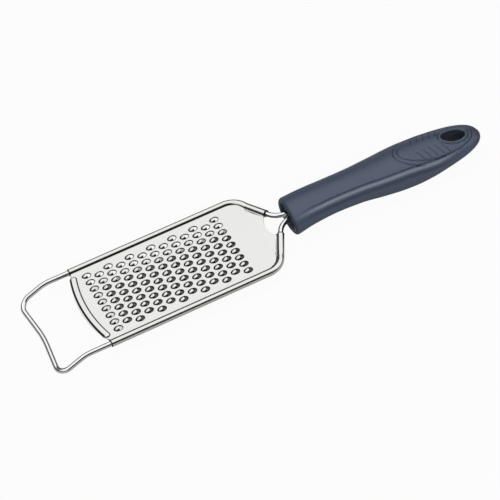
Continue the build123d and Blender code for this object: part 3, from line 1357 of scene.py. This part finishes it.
    def groove(self, x: float, y: float) -> float:
        """Depth of the grooves and of the rounded edge of the hole at a spot of the top.

        Args:
            x: distance ahead of the tip.
            y: distance from the handle's middle.

        Returns:
            How far the surface is lowered there.
        """
        half_length, half_hole = self.hole_length / 2, self.hole_width / 2
        hole = oval_distance(x - self.hole_from_tip, y, half_length, half_hole)
        half_pad, half_pad_width = self.pad_length / 2, self.pad_width / 2
        ahead = x - self.pad_from_tip
        lines = [abs(hole - self.hole_rim_width), abs(oval_distance(ahead, y, half_pad, half_pad_width))]
        border = oval_distance(
            ahead, y, half_pad + self.pad_border_ahead, half_pad_width + self.pad_border_beside,
        )
        lines.append(math.hypot(border, max(self.pad_border_end - x, 0)))
        slant = math.radians(self.grip_groove_slant)
        for number in range(self.grip_groove_count):
            dx = self.grip_groove_from_tip - number * self.grip_groove_pitch - x
            dy = abs(y) - self.grip_groove_offset
            across = dx * math.cos(slant) - dy * math.sin(slant)
            along = dy * math.cos(slant) + dx * math.sin(slant)
            lines.append(math.hypot(across, max(abs(along) - self.grip_groove_length / 2, 0)))
        nearest = min(lines) / self.groove_half_width
        depth = self.groove_depth * (0.5 + 0.5 * math.cos(math.pi * nearest)) if nearest < 1 else 0.0
        # The rim stands a little proud between its line and the rounded edge of the hole
        off_rim = (hole / self.hole_rim_width - 0.5) * self.hole_rim_steepness
        depth -= self.hole_rim_height * math.exp(-off_rim ** 2)
        radius = self.hole_edge_radius
        if hole < radius:
            inward = min(radius - hole, radius)
            depth += radius - math.sqrt(radius ** 2 - inward ** 2)
        return depth

    def stations(self) -> list[tuple[float, float]]:
        """Distances behind the front face, close together where the grooves are, with their insets.

        Returns:
            Distance and inset of each ring.
        """
        length = self.layout.handle_length
        found = []
        for step in range(self.lip_steps + 1):
            angle = math.radians(90 * step / self.lip_steps)
            found.append((self.lip_radius * (1 - math.sin(angle)), self.lip_radius * (1 - math.cos(angle))))
        found.sort()
        along = self.lip_radius
        pad_end = length - self.pad_from_tip - self.pad_length / 2 - self.pad_border_ahead
        while along < length - self.fine_step:
            along += self.fine_step if along > pad_end - self.fine_margin else self.coarse_step
            found.append((min(along, length), 0.0))
        if found[-1][0] < length:
            found.append((length, 0.0))
        return found

    def socket_ring(self, like: list[Vector], x: float, grow: float) -> list[Vector]:
        """A ring on the socket's outline with one point for each point of a section.

        Args:
            like: the section.
            x: the station.
            grow: how far outside the outline it runs.

        Returns:
            The ring.
        """
        ring = []
        for spot in like:
            angle = math.atan2(spot.z - self.layout.tang_z, spot.y)
            low, high = 0.0, self.socket_search
            for _ in range(self.socket_halvings):
                reach = (low + high) / 2
                distance = box_distance(
                    reach * math.cos(angle), reach * math.sin(angle),
                    self.socket_half_width, self.socket_half_height, self.socket_corner_radius,
                )
                low, high = (reach, high) if distance < grow else (low, reach)
            ring.append(Vector((x, reach * math.cos(angle), self.layout.tang_z + reach * math.sin(angle))))
        return ring

    def build(self) -> bpy.types.Object:
        """Draw the skin ring by ring, with the socket at its front, and cut the hanging hole.

        Returns:
            The handle's object.
        """
        draft = Draft()
        front = self.layout.handle_x
        rings, tones = [], []
        for along, inset in self.stations():
            ring, painted_light = self.section(along, inset)
            # Shade is painted dark on the front edge and on the tip
            behind = self.layout.handle_length - along
            edge = self.front_painted_shade * math.exp(-(along / self.front_reach) ** 2)
            edge += self.tip_painted_shade * math.exp(-(behind / self.tip_reach) ** 2)
            painted_light = [tone + edge for tone in painted_light]
            for i in range(self.top_columns + 1):
                spot = ring[i % len(ring)]
                depth = self.groove(self.layout.tip_x - spot.x, spot.y)
                spot.z -= depth
                # Shade is painted into the grooves
                painted_light[i % len(ring)] += self.groove_painted_shade * min(max(depth / self.groove_depth, 0), 1)
            rings.append(ring)
            tones.append(painted_light)
        sketch = rings[0]
        walls = self.socket_mouth + ((self.plug_recess, 0.0), (self.socket_depth, 0.0))
        inner = [self.socket_ring(sketch, front + depth, grow) for depth, grow in walls]
        # Shade is painted in the socket
        tones = [[self.socket_painted_shade] * len(sketch)] * len(inner) + tones
        rows = [draft.row(ring, painted_light=painted_light) for ring, painted_light in zip(inner[::-1] + rings, tones)]
        for first, second in zip(rows, rows[1:]):
            draft.bridge(first, second, closed=True)
        draft.fan(rows[0], Vector((front + self.socket_depth, 0, self.layout.tang_z)), flip=True)
        tip = rings[-1]
        middle_z = sum(p.z for p in tip) / len(tip)
        draft.fan(rows[-1], Vector((self.layout.tip_x, 0, middle_z)), flip=False)
        piece = draft.mesh("moulded_handle")
        cutter = self.hole_cutter()
        cut = piece.modifiers.new("hanging_hole", "BOOLEAN")
        cut.operation = "DIFFERENCE"
        cut.solver = "EXACT"
        cut.object = cutter
        settle(piece, self.sharp_degrees)
        bpy.data.objects.remove(cutter)
        # The cut makes its own points, which have no painted shade yet; shade is painted along the hole's
        # edge
        for vertex, tone in zip(piece.data.vertices, piece.data.attributes["painted_light"].data):
            ahead, across = (HANDLE_TIP_X - vertex.co.x) / MM - self.hole_from_tip, vertex.co.y / MM
            away = oval_distance(ahead, across, self.hole_length / 2, self.hole_width / 2)
            if abs(away) < self.hole_edge_tolerance:
                tone.value = self.hole_painted_shade
        return piece

    def hole_cutter(self) -> bpy.types.Object:
        """An oval bar that cuts the hanging hole.

        Returns:
            Its object.
        """
        draft = Draft()
        outline = []
        for step in range(self.hole_points):
            angle = math.tau * step / self.hole_points
            outline.append((self.hole_length / 2 * math.cos(angle), self.hole_width / 2 * math.sin(angle)))
        middle_x = self.layout.tip_x - self.hole_from_tip
        rows = []
        for z in self.cutter_heights:
            rows.append(draft.row([Vector((middle_x + x, y, z)) for x, y in outline]))
        draft.bridge(rows[0], rows[1], closed=True)
        for row, z, flip in zip(rows, self.cutter_heights, (True, False)):
            draft.fan(row, Vector((middle_x, 0, z)), flip=flip)
        return draft.mesh("hole_bar")

    def dress(self, piece: bpy.types.Object) -> None:
        """Give the handle its moulded plastic and put it in place of its solid."""
        finish_piece(piece, HANDLE_PLASTIC.make(), "handle_body")


@dataclass
class TangPlug:
    """The plug in the handle's front, which the CAD already gives in its right shape."""

    node: str = "tang_plug"

    def build(self) -> bpy.types.Object:
        """Take the CAD node as it stands."""
        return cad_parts[self.node]

    def dress(self, piece: bpy.types.Object) -> None:
        """Give the plug its plastic."""
        material = PLUG_PLASTIC.make()
        if piece.material_slots:
            for held in piece.material_slots:
                held.material = material
        else:
            piece.data.materials.append(material)
        LOG.info("%s: dressed", self.node)


# Finishes

# Stainless steel wire, bright drawn through a die: near-mirror, with very fine lines along its length.
# Real die lines are a few microns apart; they are drawn 0.15 mm apart so that they show.
DRAWN_WIRE = BrightSteel(
    name="stainless_wire_bright_drawn",
    colour="#E8E9EA",
    painted_shade_colour="#4A4A4A",
    # Dark colour for painted shade; the wire's points carry none of it
    roughness=0.12,
    roughness_spread=0.03,
    line_spacing=0.15,
    line_length=9.0,
    line_height=0.004,
)
# Stainless steel sheet, cold rolled and polished before stamping: a bright, slightly milky mirror
# with a faint grain along the rolling direction, which is the plate's length. The real grain is as
# fine as the die lines of the wire, and is drawn 0.25 mm apart so that it shows.
ROLLED_SHEET = BrightSteel(
    name="stainless_sheet_cold_rolled",
    colour="#DFDFDD",
    # Dark colour for painted shade in the hem corners, at cut edges, round the teeth and on the rib
    painted_shade_colour="#2E2E2E",
    roughness=0.17,
    roughness_spread=0.03,
    line_spacing=0.25,
    line_length=12.0,
    line_height=0.004,
)
# Navy polypropylene, injection moulded in a lightly spark-eroded mould: a soft sheen without sharp
# reflections, with shade painted nearly black into grooves and hollows, and a pale highlight painted
# along the crease ridges.
# The real pebble is about 0.1 mm wide, and is drawn 0.35 mm wide so that it shows.
HANDLE_PLASTIC = MouldedPolypropylene(
    name="polypropylene_moulded_navy",
    colour="#3B4456",
    shade="#384051",
    painted_dark_colour="#14181F",
    painted_highlight_colour="#626A75",
    roughness=0.42,
    pebble=0.35,
    pebble_height=0.012,
)
# The same plastic in grey, from a more matt mould: duller than the handle, so that the eye parts the two.
PLUG_PLASTIC = replace(
    HANDLE_PLASTIC,
    name="polypropylene_moulded_plug",
    colour="#566066",
    shade="#4C565C",
    roughness=0.5,
)


# Studio


@dataclass(frozen=True)
class SoftLamp:
    """A soft rectangular lamp that faces the piece: its place and size in metres, and its watts."""

    name: str
    place: tuple[float, float, float]
    size: tuple[float, float]
    watts: float

    def hang(self) -> None:
        """Hang the lamp."""
        data = bpy.data.lights.new(self.name, "AREA")
        data.shape = "RECTANGLE"
        data.size, data.size_y = self.size
        data.energy = self.watts
        lamp = stand(self.name, data)
        lamp.location = self.place
        lamp.rotation_euler = (-Vector(self.place)).to_track_quat("-Z", "Y").to_euler()
        # The steel mirrors the sky alone, so it doesn't clip to white from any side
        lamp.visible_glossy = False


@dataclass
class Studio:
    """A plain white floor, a soft white sky with a dark low band, two soft lamps, and the camera."""

    floor_size: float = 6.0
    floor_lift: float = 0.95
    card_colour: str = "#A8A8A6"
    # The shade under the plate ends so far inside its edges, along and across, and fades over as much
    shade_margins: tuple[float, float] = (0.012, 0.008)
    # Strength of the sky: for matt surfaces, and for glossy ones where it is dark and where it is bright
    sky_diffuse: float = 0.5
    sky_dark: float = 0.03
    sky_bright: float = 1.15
    # Between these heights the sky turns from dark to bright, and higher up on the far side
    sky_dawn: tuple[float, float] = (0.25, 0.42)
    sky_far_drop: float = -0.35
    # Behind the camera the room turns dark between these places across
    room_dusk: tuple[float, float] = (-0.62, -0.47)
    lamps: tuple[SoftLamp, ...] = (
        SoftLamp("soft_lamp", (-0.25, 0.25, 1.7), (1.2, 0.9), 15.0),
        SoftLamp("fill_lamp", (0.1, -1.3, 0.8), (1.0, 0.6), 14.5),
    )
    camera_place: tuple[float, float, float] = (-0.27960, -0.83506, 0.93137)
    camera_right: tuple[float, float, float] = (0.89309, -0.43151, -0.12723)
    camera_down: tuple[float, float, float] = (-0.39721, -0.62357, -0.67334)
    camera_ahead: tuple[float, float, float] = (0.21122, 0.65189, -0.72830)
    lens: float = 162.65
    sensor_width: float = 36.0

    def background_rays(self, tree: bpy.types.NodeTree) -> bpy.types.NodeSocket:
        """One for the rays that see the background: from the camera and through glass.

        Args:
            tree: the tree that asks.

        Returns:
            The socket that holds it.
        """
        rays = add_node(tree, "ShaderNodeLightPath")
        seen = add_node(
            tree, "ShaderNodeMath",
            {0: rays.outputs["Is Camera Ray"], 1: rays.outputs["Is Transmission Ray"]}, operation="MAXIMUM",
        )
        return seen.outputs[0]

    def beside_plate(self, tree: bpy.types.NodeTree, place: bpy.types.NodeSocket) -> bpy.types.NodeSocket:
        """One beside the plate, and nothing under its middle.

        Args:
            tree: the tree that asks.
            place: the socket with the place on the floor.

        Returns:
            The socket that holds it.
        """
        parts = add_node(tree, "ShaderNodeSeparateXYZ", {"Vector": place})
        sides = []
        for output, margin, low, high in zip(parts.outputs, self.shade_margins, *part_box("grating_plate")):
            middle, half = (low + high) / 2, (high - low) / 2
            off = add_node(tree, "ShaderNodeMath", {0: output, 1: middle}, operation="SUBTRACT")
            away = add_node(tree, "ShaderNodeMath", {0: off.outputs[0]}, operation="ABSOLUTE")
            side = add_node(
                tree, "ShaderNodeMapRange",
                {"Value": away.outputs[0], "From Min": half - 2 * margin, "From Max": half - margin},
                interpolation_type="SMOOTHSTEP",
            )
            sides.append(side.outputs["Result"])
        return add_node(tree, "ShaderNodeMath", {0: sides[0], 1: sides[1]}, operation="MAXIMUM").outputs[0]

    def floor(self) -> None:
        """Lay the floor: white to the eye, and it keeps the object's shadow."""
        half = self.floor_size / 2
        data = bpy.data.meshes.new("floor")
        corners = [(half * x, half * y, 0) for x, y in ((-1, -1), (1, -1), (1, 1), (-1, 1))]
        data.from_pydata(corners, [], [(0, 1, 2, 3)])
        piece = stand("floor", data)
        material, tree, output = new_material("matt_white_card")
        card = add_node(tree, "ShaderNodeBsdfDiffuse", {"Color": linear(self.card_colour)})
        white = add_node(tree, "ShaderNodeEmission", {"Color": (1, 1, 1, 1), "Strength": 1.0})
        where = add_node(tree, "ShaderNodeNewGeometry")
        # Under the plate the card isn't lifted to white, so its grey shows with the real shadow: a painted
        # shade patch, so the teeth open on shade
        open_card = self.beside_plate(tree, where.outputs["Position"])
        lifted = add_node(
            tree, "ShaderNodeMath", {0: self.background_rays(tree), 1: self.floor_lift}, operation="MULTIPLY",
        )
        share = add_node(
            tree, "ShaderNodeMath", {0: lifted.outputs[0], 1: open_card}, operation="MULTIPLY",
        )
        mixed = add_node(
            tree, "ShaderNodeMixShader",
            {0: share.outputs[0], 1: card.outputs[0], 2: white.outputs[0]},
        )
        # Seen from below, the card isn't there, so the underside of the piece can be looked at
        clear = add_node(tree, "ShaderNodeBsdfTransparent")
        sided = add_node(
            tree, "ShaderNodeMixShader",
            {0: where.outputs["Backfacing"], 1: mixed.outputs[0], 2: clear.outputs[0]},
        )
        tree.links.new(sided.outputs[0], output.inputs["Surface"])
        data.materials.append(material)

    def sky(self) -> None:
        """Hang the sky: white to the camera; in gloss, white overhead and dark low down."""
        world = bpy.data.worlds.new("studio_sky")
        bpy.context.scene.world = world
        world.use_nodes = True
        tree = world.node_tree
        tree.nodes.clear()
        output = add_node(tree, "ShaderNodeOutputWorld")
        rays = add_node(tree, "ShaderNodeLightPath")
        where = add_node(tree, "ShaderNodeTexCoord")
        parts = add_node(tree, "ShaderNodeSeparateXYZ", {"Vector": where.outputs["Generated"]})
        # Low directions stay dark, and higher up on the far side, so bright metal gets dark edges
        beyond = add_node(tree, "ShaderNodeMath", {0: parts.outputs["Y"], 1: 0.0}, operation="MAXIMUM")
        height = add_node(
            tree, "ShaderNodeMath", {0: beyond.outputs[0], 1: self.sky_far_drop, 2: parts.outputs["Z"]},
            operation="MULTIPLY_ADD",
        )
        above = add_node(
            tree, "ShaderNodeMapRange",
            {
                "Value": height.outputs[0],
                "From Min": self.sky_dawn[0],
                "From Max": self.sky_dawn[1],
                "To Min": self.sky_dark,
                "To Max": self.sky_bright,
            },
            interpolation_type="SMOOTHSTEP",
        )
        # The side behind the camera is a dark room
        behind = add_node(
            tree, "ShaderNodeMapRange",
            {
                "Value": parts.outputs["Y"],
                "From Min": self.room_dusk[0],
                "From Max": self.room_dusk[1],
                "To Min": self.sky_dark,
                "To Max": 1.0,
            },
            interpolation_type="SMOOTHSTEP",
        )
        panel = add_node(
            tree, "ShaderNodeMath", {0: above.outputs["Result"], 1: behind.outputs["Result"]},
            operation="MULTIPLY",
        )
        gloss = add_node(
            tree, "ShaderNodeMix",
            {0: rays.outputs["Is Glossy Ray"], 2: self.sky_diffuse, 3: panel.outputs[0]}, data_type="FLOAT",
        )
        seen = add_node(
            tree, "ShaderNodeMix",
            {0: rays.outputs["Is Camera Ray"], 2: gloss.outputs[0], 3: 1.0}, data_type="FLOAT",
        )
        light = add_node(
            tree, "ShaderNodeBackground", {"Color": (1, 1, 1, 1), "Strength": seen.outputs[0]},
        )
        tree.links.new(light.outputs[0], output.inputs["Surface"])

    def camera(self) -> None:
        """Stand the camera at the place the photograph was taken from."""
        data = bpy.data.cameras.new("camera")
        data.lens = self.lens
        data.sensor_width = self.sensor_width
        camera = stand("camera", data)
        up, backward = [-Vector(way) for way in (self.camera_down, self.camera_ahead)]
        turned = Matrix((self.camera_right, up, backward)).transposed()
        camera.matrix_world = Matrix.Translation(self.camera_place) @ turned.to_4x4()
        bpy.context.scene.camera = camera

    def build(self) -> None:
        """Set the whole studio."""
        self.camera()
        self.floor()
        self.sky()
        for lamp in self.lamps:
            lamp.hang()
        bpy.context.scene.view_settings.view_transform = "Standard"
        LOG.info("studio: floor, sky, lamps and camera")


def main() -> None:
    """Build every piece in order and set the studio."""
    logging.basicConfig(level=logging.INFO, format="%(name)s %(message)s")
    Studio().build()
    for maker in (WireFrame(LAYOUT), GratingPlate(LAYOUT), HandleBody(LAYOUT), TangPlug()):
        maker.dress(maker.build())


if __name__ == "__main__":
    main()
